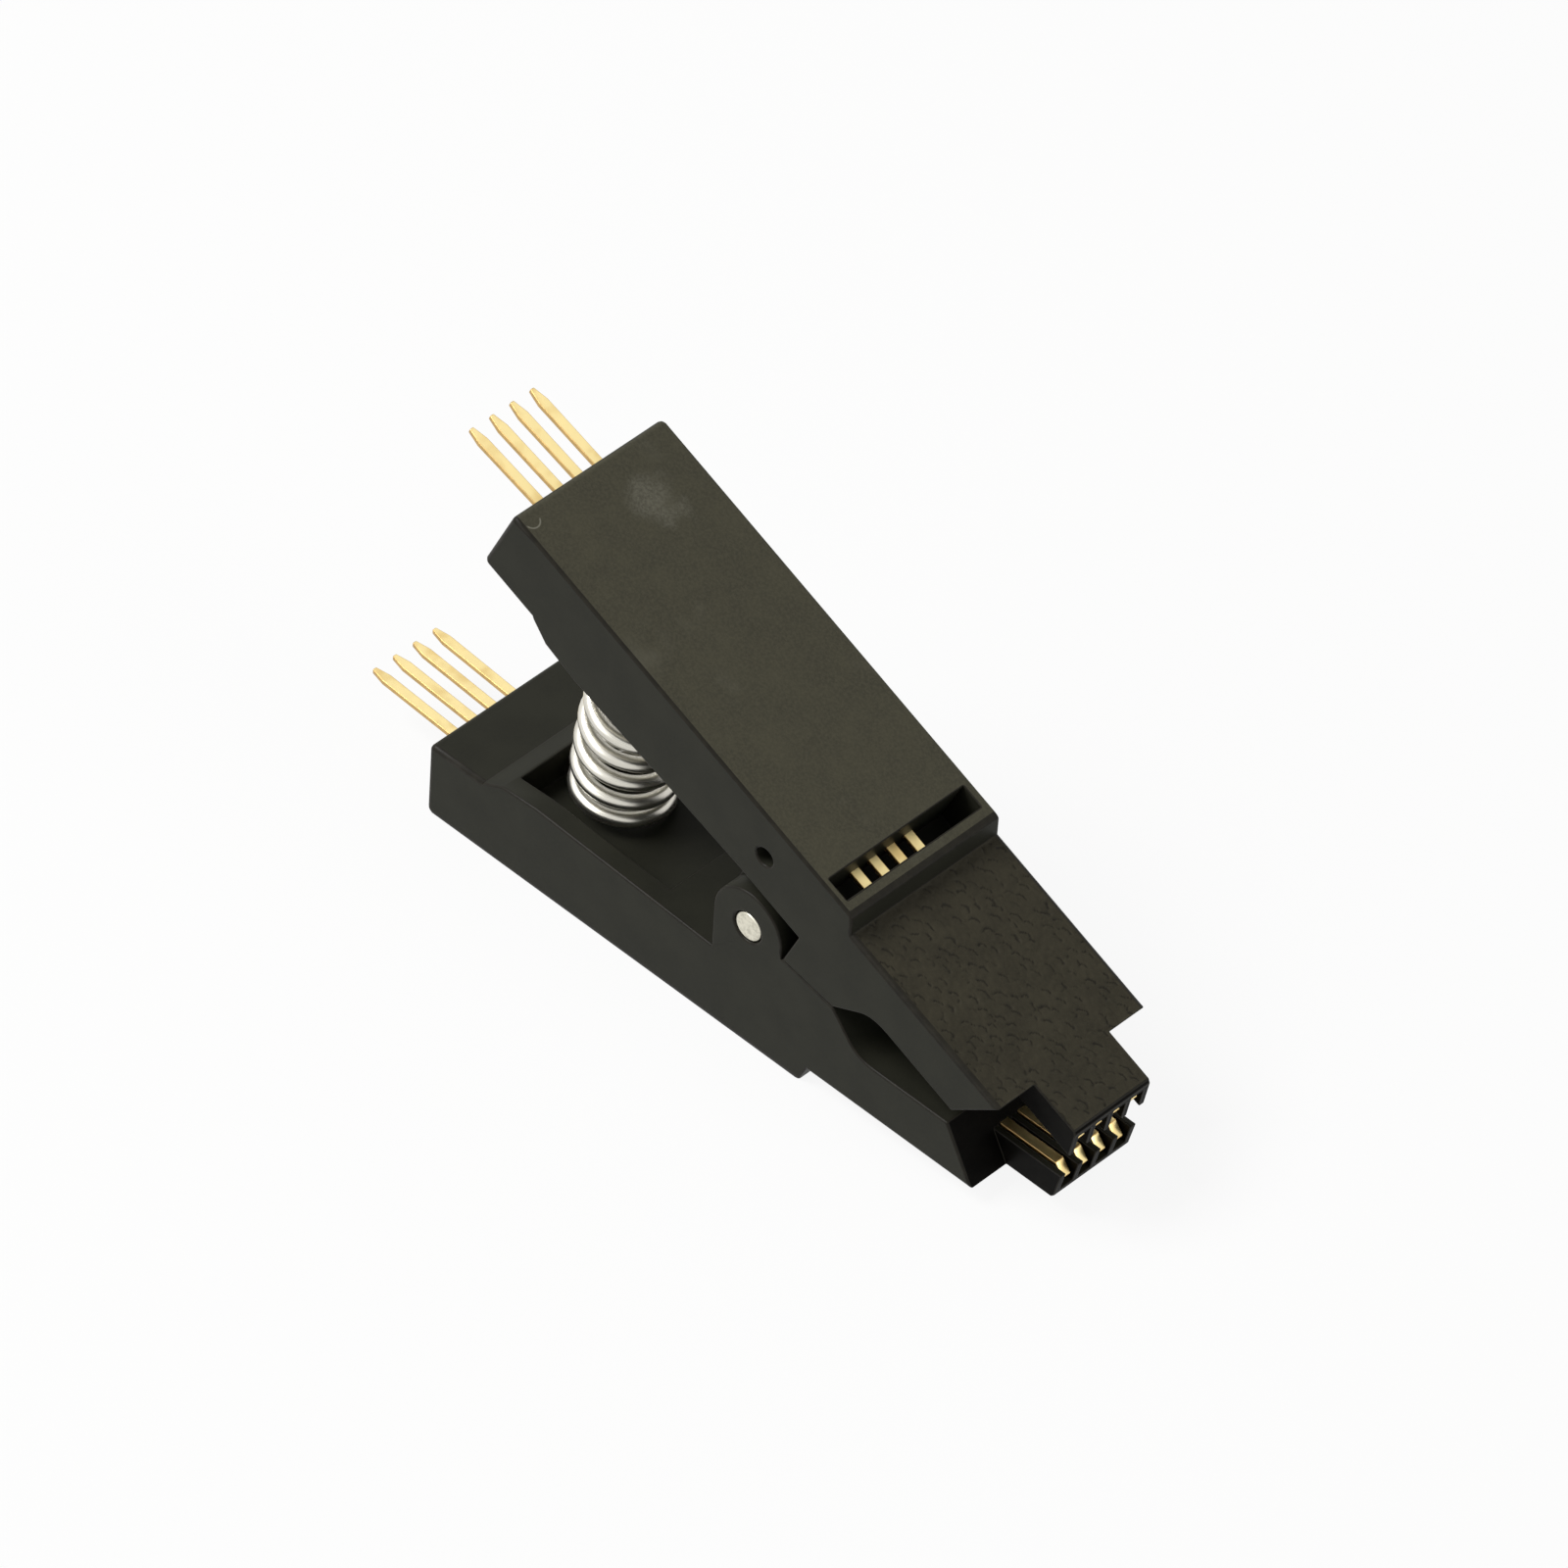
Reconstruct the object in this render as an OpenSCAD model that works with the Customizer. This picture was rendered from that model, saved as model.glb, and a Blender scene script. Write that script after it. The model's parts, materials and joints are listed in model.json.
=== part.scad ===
// Spring-loaded test clip for an 8-lead, 1.27 mm pitch surface-mount IC.
//
// Two identical moulded jaws turn on one steel pin, a coil spring holds the
// handles apart, and four gilt contact strips run through each jaw, from the
// tail pins at the rear to the ribbed nose.
//
// The origin is on the lower jaw's flat outer face, right under the hinge axis.
// +X points to the nose, +Y across the clip and +Z up. A jaw is drawn lying on
// its outer face, and the upper jaw is the same moulding turned about the hinge.

/* [Jaw] */
// Width of the moulding, and of the whole clip
jaw_w = 10.65; // [9.6:0.05:13]
// Hinge axis to the rear end of the handles
handle_len = 22.4; // [21:0.1:30]
// Hinge axis to the tip of the nose
front_len = 19.2; // [18.2:0.1:24]
// Height of the hinge axis over a jaw's outer face
hinge_h = 7.88; // [7.4:0.02:9]
// Angle of the parting plane to each jaw's outer face, half the closed angle
parting_angle = 11.85; // [10:0.05:14]
// Thickness of the block that the tail pins leave
rear_t = 4.7; // [3.9:0.05:5.2]
// Height of the side rails at their rear end
rail_h = 5.5; // [5.3:0.05:6]
// Height of the rails and of the hinge seat at the hinge
seat_h = 4.9; // [4.4:0.05:5.2]
// Thickness of each side rail
rail_wall = 1.2; // [0.9:0.05:1.6]
// Rounding of the rear corners
rear_r = 0.35; // [0.15:0.05:0.6]

/* [Grip step and window] */
// Hinge axis to the lip where the grained grip starts
lip_x = 4.05; // [3.7:0.05:5]
// Length of the sloping face of the lip
lip_run = 0.45; // [0.2:0.05:0.8]
// Depth of the grip face under the handle's outer face
step_depth = 1.04; // [0.6:0.02:1.3]
// Length of the window that shows the contacts
window_len = 1.4; // [1:0.05:1.8]
// Width of the bar between the window and the lip
window_bar = 0.92; // [0.6:0.02:1.2]
// Wall left on each side of the window
window_side = 0.5; // [0.4:0.05:1]
// Depth of the window
window_depth = 3.3; // [2.9:0.05:3.8]

/* [Shank and side opening] */
// Hinge axis to the rear corner of the side opening, where the jaws meet
open_x = 6; // [5.5:0.05:7]
// Slope of the opening's rear face, as length for a height of 1
open_slope = 0.86; // [0.6:0.02:1.1]
// Thickness of the wide shank
shank_t = 4.4; // [3.8:0.05:4.9]
// Length of the narrow nose that stands out of the shank
nose_len = 3.24; // [2.6:0.02:3.8]
// Run of the shank's slanted front face
shank_slant = 1.9; // [1:0.05:2.4]
// Gap between the two parting faces
parting_gap = 0.03; // [0.02:0.01:0.08]

/* [Ribbed nose] */
// Width of each rib between the contacts
rib_w = 0.37; // [0.25:0.01:0.5]
// Height of the ribs over the nose's outer face
nose_t = 1.82; // [1.7:0.02:2.1]
// Skin left under the contact slots
nose_skin = 0.5; // [0.35:0.01:0.7]
// Chamfer of the nose's front edge
nose_chamfer = 0.2; // [0.1:0.02:0.35]

/* [Hinge] */
// Diameter of the steel hinge pin
pin_d = 1.8; // [1.4:0.05:2.2]
// Radial clearance of the pin in the lugs
pin_clear = 0.03; // [0.02:0.01:0.08]
// Depth of the pin's ends under the side faces
pin_inset = 0.04; // [0.02:0.01:0.15]
// Radius of the round hinge lugs
lug_r = 2.35; // [2:0.05:2.5]
// Thickness of each lug
lug_t = 1.3; // [1:0.05:1.6]
// Clearance beside the lugs and in front of them
lug_gap = 0.08; // [0.05:0.01:0.15]
// Diameter of the small round recess beside the hinge
recess_d = 1.1; // [0.8:0.05:1.4]
// Depth of that recess
recess_depth = 1; // [0.5:0.05:1.4]
// Hinge axis back to the middle of the recess
recess_back = 1.44; // [0.8:0.02:1.8]
// Height of the recess over the outer face
recess_h = 2.49; // [1.8:0.02:3]

/* [Contacts] */
// Pitch of the contacts at the nose, the pitch of the IC's leads
contact_pitch = 1.27; // [1.2:0.01:1.35]
// Width of a contact strip
contact_w = 0.6; // [0.45:0.01:0.65]
// Thickness of a contact strip
contact_t = 0.3; // [0.2:0.01:0.35]
// Clearance of a strip in its channel
contact_clear = 0.02; // [0.02:0.01:0.05]
// Height of the strips over the outer face, from the tail to the window
run_h = 2.31; // [2.2:0.01:2.45]
// Length of a contact's folded end
fold_len = 0.85; // [0.6:0.01:0.95]
// Angle at which the end folds down into its slot
fold_angle = 52; // [35:1:65]
// Hinge axis to the fold, measured back from the tip of the nose
fold_back = 0.6; // [0.5:0.02:0.9]
// Pitch of the tail pins
tail_pitch = 1.4; // [1.27:0.01:1.6]
// Length of the lower tails behind the jaw
lower_tail = 7.1; // [5:0.1:8]
// Length of the upper tails behind the jaw
upper_tail = 5.5; // [4:0.1:8]
// Angle at which the tails lean inwards
tail_lean = 4.5; // [0:0.5:7]
// Length of the tails' pointed ends
point_len = 0.9; // [0.5:0.05:1.2]
// Width of the tails at the point
point_w = 0.24; // [0.15:0.01:0.35]

/* [Spring] */
// Outer diameter of the coil spring
spring_od = 5.8; // [5:0.05:6.4]
// Diameter of the spring wire
wire_d = 0.85; // [0.6:0.05:0.9]
// Number of turns, with one closed turn at each end
spring_turns = 9.5; // [8:0.5:10]
// Hinge axis to the middle of the spring
spring_back = 13.75; // [13:0.05:14.5]
// Height of the floor that the spring stands on
floor_t = 3.45; // [3.2:0.05:3.8]
// Room between the spring and the end of its channel
spring_room = 0.35; // [0.2:0.05:0.6]
// Hinge axis to the front end of the spring's channel
channel_front = 6.4; // [4.5:0.1:8]

/* [Hidden] */

// Contacts on each jaw, one for each lead on a side of the IC
contact_count = 4;
// How far a cutting shape runs past the face that it cuts
over = 1;
round_fn = 64;
arc_steps = 6;
blend_steps = 5;

plastic = [0.13, 0.125, 0.11];
gilt = [0.88, 0.72, 0.38];
steel = [0.78, 0.78, 0.76];

jaw_angle = 2 * parting_angle;
half_w = jaw_w / 2;
nose_w = contact_count * contact_pitch + rib_w;
slot_w = contact_pitch - rib_w;

// The grip step, window and shank along X
lip_end = lip_x + lip_run;
window_front = lip_x - window_bar;
window_rear = window_front - window_len;
shoulder_x = front_len - nose_len;
shank_x = shoulder_x - shank_slant;

// The rounded corner of the side opening: its height over the shank, and the
// length over which it runs into the shank
corner_rise = 0.7;
corner_run = 1.1;

// The hinge: the seat ends at the front wall, just ahead of the mating lugs
seat_front = lug_r + lug_gap;

// The spring's channel between the side rails
channel_rear = -(spring_back + spring_od / 2 + spring_room);
// Behind it the rails slope down to the rear block, after a small eased corner
ramp_len = 1.5;
rail_ease = [0.2, 0.15];
// Level length of the rails beside the channel's rear end
rail_flat = 2.2;

// The contacts run at run_h to the window, where they have their knee in plan,
// and rise to the nose ahead of it
knee_x = window_rear + window_len / 2;
rise_gap = 0.4;
nose_run_h = step_depth + nose_t - contact_t / 2;
rise_start = lip_end + rise_gap;
rise_end = shank_x;
fold_x = front_len - fold_back;
// The tails start to lean a little way behind the jaw
lean_start = 0.3;

// Chamfer of the pin's ends
pin_chamfer = 0.1;

// Height of the parting plane over a jaw's outer face
function parting_h(x) = hinge_h - tan(parting_angle) * x - parting_gap / 2;

// Points of an arc from angle a0 to a1 about the point c
function arc(c, r, a0, a1) =
    [for (i = [0 : arc_steps]) let (a = a0 + (a1 - a0) * i / arc_steps) c + r * [cos(a), sin(a)]];

// Points of a curve that leaves p towards q and arrives at s
function blend(p, q, s) =
    [for (i = [0 : blend_steps]) let (u = i / blend_steps)
        (1 - u) ^ 2 * p + 2 * u * (1 - u) * q + u ^ 2 * s];

// Outline of a jaw seen from the side: X along the jaw, Y its height
function jaw_outline() = let (
    open_h = parting_h(open_x),
    bend_h = shank_t + corner_rise,
    bend_x = open_x + (open_h - bend_h) * open_slope,
    foot_x = bend_x + (bend_h - shank_t) * open_slope
) concat(
    arc([-handle_len + rear_r, rear_r], rear_r, 180, 270),
    [
        [lip_x, 0],
        [lip_end, step_depth],
        [shoulder_x, step_depth],
        [shank_x, shank_t]
    ],
    blend([foot_x + corner_run, shank_t], [foot_x, shank_t], [bend_x, bend_h]),
    [
        [open_x, open_h],
        [seat_front, parting_h(seat_front)],
        [seat_front, seat_h],
        [-lug_r, seat_h],
        [channel_rear + rail_flat, rail_h],
        [channel_rear - rail_ease.x, rail_h - rail_ease.y],
        [channel_rear - ramp_len, rear_t]
    ],
    arc([-handle_len + rear_r, rear_t - rear_r], rear_r, 90, 180)
);

// Outline of the nose; its front face is square to the parting plane
function nose_outline() = let (lean = tan(parting_angle) * nose_t) [
    [shank_x, step_depth],
    [front_len - nose_chamfer, step_depth],
    [front_len, step_depth + nose_chamfer],
    [front_len + lean, step_depth + nose_t],
    [shank_x, step_depth + nose_t]
];

// Draws an outline in the XZ plane, w thick and centred on Y
module slab(w) {
    rotate([90, 0, 0])
        linear_extrude(w, center = true)
            children();
}

// Box from corner a to corner b
module block(a, b) {
    translate(a) cube(b - a);
}

// Cylinder along Y about the hinge axis, from y0 to y1
module hinge_rod(d, y0, y1) {
    translate([0, y1, hinge_h])
        rotate([90, 0, 0])
            cylinder(d = d, h = y1 - y0, $fn = round_fn);
}

// One hinge lug between y0 and y1, standing on the seat
module lug(y0, y1) {
    hinge_rod(2 * lug_r, y0, y1);
    block([-lug_r, y0, floor_t], [lug_r, y1, hinge_h]);
    // A web joins the lug to the block in front of it, just under the parting plane
    translate([0, (y0 + y1) / 2, 0])
        slab(y1 - y0)
            polygon([
                [0, floor_t],
                [seat_front + over, floor_t],
                [seat_front + over, parting_h(seat_front + over) - parting_gap],
                [0, parting_h(0) - parting_gap]
            ]);
}

// Outer lug, flush with the side face at -Y, and inner lug behind the mating lug
module lugs() {
    lug(-half_w, -half_w + lug_t);
    lug(half_w - 2 * lug_t - lug_gap, half_w - lug_t - lug_gap);
}

// Ribbed nose: five ribs, with a slot for each contact between them
module nose() {
    difference() {
        slab(nose_w) polygon(nose_outline());
        for (i = [0 : contact_count - 1])
            translate([0, contact_y(i), 0])
                block([shank_x - over, -slot_w / 2, step_depth + nose_skin],
                      [front_len + 2 * over, slot_w / 2, shank_t + over]);
    }
}

// Place across the jaw of contact i: the strips lie at the contact pitch at the
// nose, and spread behind the window to the tail pitch
function contact_y(i) = (i - (contact_count - 1) / 2) * contact_pitch;
function spread_y(i, x) =
    contact_y(i) * (1 + (tail_pitch / contact_pitch - 1) * (knee_x - x) / (knee_x + handle_len));

function perp(v) = [-v.y, v.x] / norm(v);
function mitre(p, i) =
    i == 0 ? perp(p[1] - p[0]) :
    i == len(p) - 1 ? perp(p[i] - p[i - 1]) :
    let (n = perp(p[i] - p[i - 1]) + perp(p[i + 1] - p[i])) 2 * n / (n * n);

// Band of thickness t along the path p
module band(p, t) {
    last = len(p) - 1;
    polygon(concat(
        [for (i = [0 : last]) p[i] + mitre(p, i) * t / 2],
        [for (i = [last : -1 : 0]) p[i] - mitre(p, i) * t / 2]
    ));
}

// Side view of a contact's centre line, from the folded end to the tail
function contact_path(tail) = [
    [fold_x, nose_run_h] + fold_len * [cos(fold_angle), -sin(fold_angle)],
    [fold_x, nose_run_h],
    [rise_end, nose_run_h],
    [rise_start, run_h],
    [-handle_len - lean_start, run_h],
    [-handle_len - tail, run_h + (tail - lean_start) * tan(tail_lean)]
];

// Plan of contact i, w wide, from the nose to a tail with a pointed end
module contact_plan(i, tail, w) {
    end = -handle_len - tail;
    half = [
        [front_len + over, w / 2], [knee_x, w / 2], [end + point_len, w / 2], [end, point_w / 2]
    ];
    polygon(concat(
        [for (p = half) [p.x, spread_y(i, min(p.x, knee_x)) + p.y]],
        [for (k = [len(half) - 1 : -1 : 0]) let (p = half[k])
            [p.x, spread_y(i, min(p.x, knee_x)) - p.y]]
    ));
}

// Contact strip i, lying in the jaw as the jaw is drawn, with side room or not
module strip(i, tail, room) {
    intersection() {
        slab(jaw_w) band(contact_path(tail), contact_t + 2 * room);
        translate([0, 0, -over])
            linear_extrude(shank_t + 2 * over)
                contact_plan(i, tail, contact_w + 2 * room);
    }
}

module contact(i, tail) {
    color(gilt) strip(i, tail, 0);
}

// Channels for the strips, cut with the strips' own outlines
module contact_channels() {
    for (i = [0 : contact_count - 1]) strip(i, upper_tail, contact_clear);
}

// One moulded jaw, lying on its outer face
module jaw() {
    color(plastic) difference() {
        union() {
            difference() {
                slab(jaw_w) polygon(jaw_outline());
                // Channel between the side rails, which holds the spring
                block([channel_rear, -half_w + rail_wall, floor_t],
                      [-channel_front, half_w - rail_wall, rail_h + over]);
            }
            lugs();
            nose();
        }
        contact_channels();
        // Window over the contacts
        block([window_rear, -half_w + window_side, -over],
              [window_front, half_w - window_side, window_depth]);
        hinge_rod(pin_d + 2 * pin_clear, -half_w - over, half_w + over);
        // Small round recess in the side face at +Y
        translate([-recess_back, half_w - recess_depth, recess_h])
            rotate([-90, 0, 0])
                cylinder(d = recess_d, h = recess_depth + over, $fn = round_fn);
    }
}

// Turns what is drawn in a jaw's place over into the upper jaw's closed place
module mated() {
    translate([0, 0, hinge_h])
        rotate([0, jaw_angle, 0])
            rotate([180, 0, 0])
                translate([0, 0, -hinge_h])
                    children();
}

module lower_jaw() jaw();
module upper_jaw() mated() jaw();
module lower_contact(n) contact(n - 1, lower_tail);
module upper_contact(n) mated() contact(n - 1, upper_tail);

// Headless steel pin with chamfered ends
module hinge_pin() {
    end_y = half_w - pin_inset;
    color(steel)
        translate([0, 0, hinge_h])
            rotate([90, 0, 0])
                rotate_extrude($fn = round_fn)
                    polygon([
                        [0, -end_y],
                        [pin_d / 2 - pin_chamfer, -end_y],
                        [pin_d / 2, -end_y + pin_chamfer],
                        [pin_d / 2, end_y - pin_chamfer],
                        [pin_d / 2 - pin_chamfer, end_y],
                        [0, end_y]
                    ]);
}

// The spring's axis is an arc square to both floors. The two floors meet
// ahead of the hinge, and the arc is centred on the line where they meet.
meet_x = (hinge_h - floor_t) / tan(parting_angle);
axis_r = meet_x + spring_back;
axis_len = axis_r * jaw_angle * PI / 180;
coil_r = (spring_od - wire_d) / 2;
seat_gap = 0.02;
steps = 20;
sides = 8;
// Pitch of the closed end turns, in wire diameters
closed_share = 1.1;
closed_pitch = closed_share * wire_d;
coil_rise = axis_len - wire_d - 2 * seat_gap;
open_pitch = (coil_rise - 2 * closed_pitch) / (spring_turns - 2);

// Rise along the axis after t turns: closed, open and closed again
function coil_s(t) = wire_d / 2 + seat_gap
    + closed_pitch * min(t, 1)
    + open_pitch * max(0, min(t - 1, spring_turns - 2))
    + closed_pitch * max(0, t - (spring_turns - 1));

// Unit vectors of the axis after a turn of u degrees about the centre line
function axis_out(u) = [-cos(u), 0, sin(u)];
function axis_along(u) = [sin(u), 0, cos(u)];

// Middle of the wire after t turns, and the ring of points round it
function coil_point(t) = let (u = coil_s(t) / axis_r * 180 / PI)
    [meet_x, 0, floor_t] + (axis_r + coil_r * cos(360 * t)) * axis_out(u)
    + [0, coil_r * sin(360 * t), 0];
function coil_ring(t) = let (
    u = coil_s(t) / axis_r * 180 / PI,
    out = cos(360 * t) * axis_out(u) + [0, sin(360 * t), 0]
) [for (k = [0 : sides - 1]) let (a = 360 * k / sides)
    coil_point(t) + wire_d / 2 * (cos(a) * out + sin(a) * axis_along(u))];

// Compression spring between the two handle floors
module spring() {
    rings = ceil(spring_turns * steps);
    points = [for (j = [0 : rings]) each coil_ring(j / steps)];
    color(steel)
        polyhedron(points, concat(
            [[for (k = [0 : sides - 1]) k]],
            [for (j = [0 : rings - 1], k = [0 : sides - 1]) let (n = (k + 1) % sides)
                [j * sides + k, (j + 1) * sides + k, (j + 1) * sides + n, j * sides + n]],
            [[for (k = [sides - 1 : -1 : 0]) rings * sides + k]]
        ));
}

lower_jaw();
upper_jaw();
hinge_pin();
spring();
lower_contact(1);  // lower_contact_1
lower_contact(2);  // lower_contact_2
lower_contact(3);  // lower_contact_3
lower_contact(4);  // lower_contact_4
upper_contact(1);  // upper_contact_1
upper_contact(2);  // upper_contact_2
upper_contact(3);  // upper_contact_3
upper_contact(4);  // upper_contact_4
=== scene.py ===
"""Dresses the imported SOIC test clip: rounded and grained jaws, coil spring, pin and gilt contacts."""
import json
import math
from functools import partial

import bmesh
import bpy
from mathutils import Matrix, Vector


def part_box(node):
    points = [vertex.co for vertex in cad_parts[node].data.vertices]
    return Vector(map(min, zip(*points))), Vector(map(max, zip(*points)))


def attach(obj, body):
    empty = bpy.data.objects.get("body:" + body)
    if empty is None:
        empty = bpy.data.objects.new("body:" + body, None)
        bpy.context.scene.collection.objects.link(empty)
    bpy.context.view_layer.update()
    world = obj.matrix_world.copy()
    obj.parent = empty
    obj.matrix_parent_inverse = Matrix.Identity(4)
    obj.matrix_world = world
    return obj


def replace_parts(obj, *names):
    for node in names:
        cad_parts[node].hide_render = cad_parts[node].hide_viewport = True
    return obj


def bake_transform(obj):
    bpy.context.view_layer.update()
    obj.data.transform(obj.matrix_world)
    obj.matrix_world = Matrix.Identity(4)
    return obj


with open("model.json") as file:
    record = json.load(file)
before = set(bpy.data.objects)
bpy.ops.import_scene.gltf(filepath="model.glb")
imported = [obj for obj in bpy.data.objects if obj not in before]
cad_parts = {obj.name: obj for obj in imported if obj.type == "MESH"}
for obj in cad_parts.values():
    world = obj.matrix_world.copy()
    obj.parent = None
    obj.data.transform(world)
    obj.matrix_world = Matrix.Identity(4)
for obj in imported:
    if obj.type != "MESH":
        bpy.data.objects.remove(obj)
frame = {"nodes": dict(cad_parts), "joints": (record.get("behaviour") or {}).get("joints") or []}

bl_info = {
    "name": "SOIC Test Clip",
    "version": (1, 0, 0),
    "blender": (4, 5, 0),
    "location": "3D View > Sidebar > Test Clip",
    "description": "Rounds, grains and finishes the pieces of a spring-loaded SOIC test clip",
    "category": "Object",
}

MM = 0.001
CONTACTS = 4
HINGE = Vector(frame["joints"][0]["pos_m"])
# Places closer than this are the same place
HAIR = 0.01 * MM


def linear(code, alpha=1.0):
    """sRGB hex to the linear colour that a shader takes."""
    parts = [int(code[i:i + 2], 16) / 255 for i in (0, 2, 4)]
    return tuple(c / 12.92 if c <= 0.04045 else ((c + 0.055) / 1.055) ** 2.4 for c in parts) + (alpha,)


def distance(name, default, description):
    """A length setting, with its default in millimetres."""
    return bpy.props.FloatProperty(name=name, description=description, default=default * MM, min=0.0,
                                   max=50 * MM, subtype="DISTANCE", unit="LENGTH", precision=5)


def colour(name, code, description):
    """A colour setting, with its default as sRGB hex."""
    return bpy.props.FloatVectorProperty(name=name, description=description, default=linear(code), size=4,
                                         min=0.0, max=1.0, subtype="COLOR")


# ---------------------------------------------------------------- settings

class ClipSizes(bpy.types.PropertyGroup):
    round_main: distance("Main Rounding", 0.28, "Radius along the long outer edges of a jaw")
    round_small: distance("Small Rounding", 0.07, "Radius along the other edges of a jaw")
    grain_cell: distance("Grain Cell", 0.74, "Size of one pebble of the leather grain")
    grain_depth: distance("Grain Depth", 0.065, "Depth of the creases of the leather grain")
    grain_grid: distance("Grain Grid", 0.08, "Spacing of the grid that carries the leather grain")
    coil_d: distance("Coil Diameter", 5.8, "Outer diameter of the spring")
    wire_d: distance("Wire Diameter", 0.85, "Diameter of the spring wire")
    coil_back: distance("Coil Place", 13.75, "From the hinge axis back to the middle of the spring")
    coil_floor: distance("Coil Floor", 3.45, "Height of the floor that the spring stands on")
    turns: bpy.props.FloatProperty(name="Turns", description="Turns of the spring, the closed ends included",
                                   default=9.5, min=3.0, max=20.0)
    pin_round: distance("Pin Rounding", 0.12, "Rounding of the ends of the hinge pin")
    strip_round: distance("Strip Rounding", 0.045, "Rounding of the edges of the contact strips")
    seed: bpy.props.IntProperty(name="Seed", description="Seed of the leather grain", default=4, min=0)


class ClipColours(bpy.types.PropertyGroup):
    plate: colour("Outer Plate", "39372b", "Spark-eroded outer face of the handles")
    side: colour("Side", "23231c", "Smoother side faces of the jaws")
    grip: colour("Grip", "302d23", "Leather-grained grip faces")
    edge: colour("Moulded Edge", "1d1b15", "Rounded edges of the jaws")
    # Painted shade: a near-black colour for the slanted front walls and nose sides, which lie in shade under
    # and between the jaws
    wall_shade: colour("Painted Wall Shade", "0b0a08", "Slanted walls at the front of the jaws")
    steel: colour("Spring Steel", "dedbd0", "Bright drawn spring wire")
    pin: colour("Pin", "e0dccb", "Cropped end of the steel pin")
    gilt: colour("Gilt", "f8e3a4", "Gold flash on the contact strips")
    sheared: colour("Sheared Brass", "cfae72", "Sheared edges of the contact strips")
    rubbed: colour("Rubbed Plate", "5d5b4f", "Where the outer plate has been handled")
    scuff: colour("Scuff", "6c6a5e", "Pale patches and the nick on the upper plate")
    thin_gilt: colour("Thin Gilt", "e6c987", "Where the gold flash is thin")
    floor: colour("Floor", "e0e0de", "Plain studio floor")


# ---------------------------------------------------------------- meshes

def jaw_turn():
    """Turns a jaw that lies on its outer face, as the lower one does, into the upper jaw's place."""
    mesh = frame["nodes"]["upper_jaw"].data
    plate = max(mesh.polygons, key=lambda p: p.area)
    angle = math.atan2(plate.normal.x, plate.normal.z)
    return (Matrix.Translation(HINGE) @ Matrix.Rotation(angle, 4, "Y")
            @ Matrix.Rotation(math.pi, 4, "X") @ Matrix.Translation(-HINGE))


def merged_copy(node, turn=Matrix.Identity(4)):
    """A closed copy of a CAD node's mesh with whole flat faces, in the frame that turn maps to its place."""
    bm = bmesh.new()
    bm.from_mesh(frame["nodes"][node].data)
    bmesh.ops.remove_doubles(bm, verts=bm.verts, dist=2e-6)
    bmesh.ops.dissolve_limit(bm, angle_limit=math.radians(1), verts=bm.verts, edges=bm.edges)
    bmesh.ops.transform(bm, matrix=turn.inverted(), verts=bm.verts)
    return bm


def place(name, bm, materials):
    """Links a mesh object at the origin with these materials in its slots."""
    mesh = bpy.data.meshes.new(name)
    bm.to_mesh(mesh)
    bm.free()
    obj = bpy.data.objects.new(name, mesh)
    bpy.context.scene.collection.objects.link(obj)
    for material in materials:
        mesh.materials.append(material)
    return obj


def settled(obj):
    """Turns an object's modifiers into plain mesh."""
    bpy.context.view_layer.update()
    evaluated = obj.evaluated_get(bpy.context.evaluated_depsgraph_get())
    mesh = bpy.data.meshes.new_from_object(evaluated)
    obj.modifiers.clear()
    old = obj.data
    obj.data = mesh
    mesh.name = obj.name
    bpy.data.meshes.remove(old)
    return obj


def bevelled(obj, width, segments=3, method="WEIGHT", slot=-1):
    """Rounds an object's edges, by weight or by angle, and puts the rounded faces in a material slot."""
    mod = obj.modifiers.new("Rounding", "BEVEL")
    mod.material = slot
    mod.width = width
    mod.segments = segments
    mod.limit_method = method
    mod.angle_limit = math.radians(25)
    mod.use_clamp_overlap = False
    mod.miter_outer = "MITER_ARC"
    return settled(obj)


def smooth(obj, angle=35):
    """Smooth shading with face-weighted normals, so that flat faces stay flat beside their rounded edges."""
    for polygon in obj.data.polygons:
        polygon.use_smooth = True
    obj.data.set_sharp_from_angle(angle=math.radians(angle))
    mod = obj.modifiers.new("Weighted", "WEIGHTED_NORMAL")
    mod.keep_sharp = True
    return settled(obj)


# ---------------------------------------------------------------- node helpers

def add(tree, kind, inputs=None, **settings):
    """Adds a node, sets its properties, and fills its inputs with values or sockets."""
    node = tree.nodes.new(kind)
    for key, value in settings.items():
        setattr(node, key, value)
    for key, value in (inputs or {}).items():
        if isinstance(value, bpy.types.Node):
            value = value.outputs[0]
        if isinstance(value, bpy.types.NodeSocket):
            tree.links.new(value, node.inputs[key])
        else:
            node.inputs[key].default_value = value
    return node


def maths(tree, operation, a, b=0.0, c=0.0):
    """One operation on numbers; returns its value."""
    return add(tree, "ShaderNodeMath", {0: a, 1: b, 2: c}, operation=operation).outputs[0]


def vectors(tree, operation, a, b=(0.0, 0.0, 0.0)):
    """One operation on vectors; returns its vector, or its number where that is the result."""
    node = add(tree, "ShaderNodeVectorMath", {0: a, 1: b}, operation=operation)
    return node.outputs["Value" if operation in ("DOT_PRODUCT", "DISTANCE") else "Vector"]


def stretched(tree, vector, scale):
    """A vector times a number."""
    return add(tree, "ShaderNodeVectorMath", {0: vector, "Scale": scale}, operation="SCALE").outputs["Vector"]


def ramped(tree, value, low, high, start=0.0, end=1.0):
    """Smooth step from start to end as value goes from low to high."""
    return add(tree, "ShaderNodeMapRange", {
        "Value": value, "From Min": low, "From Max": high, "To Min": start, "To Max": end},
        interpolation_type="SMOOTHSTEP").outputs[0]


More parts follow.
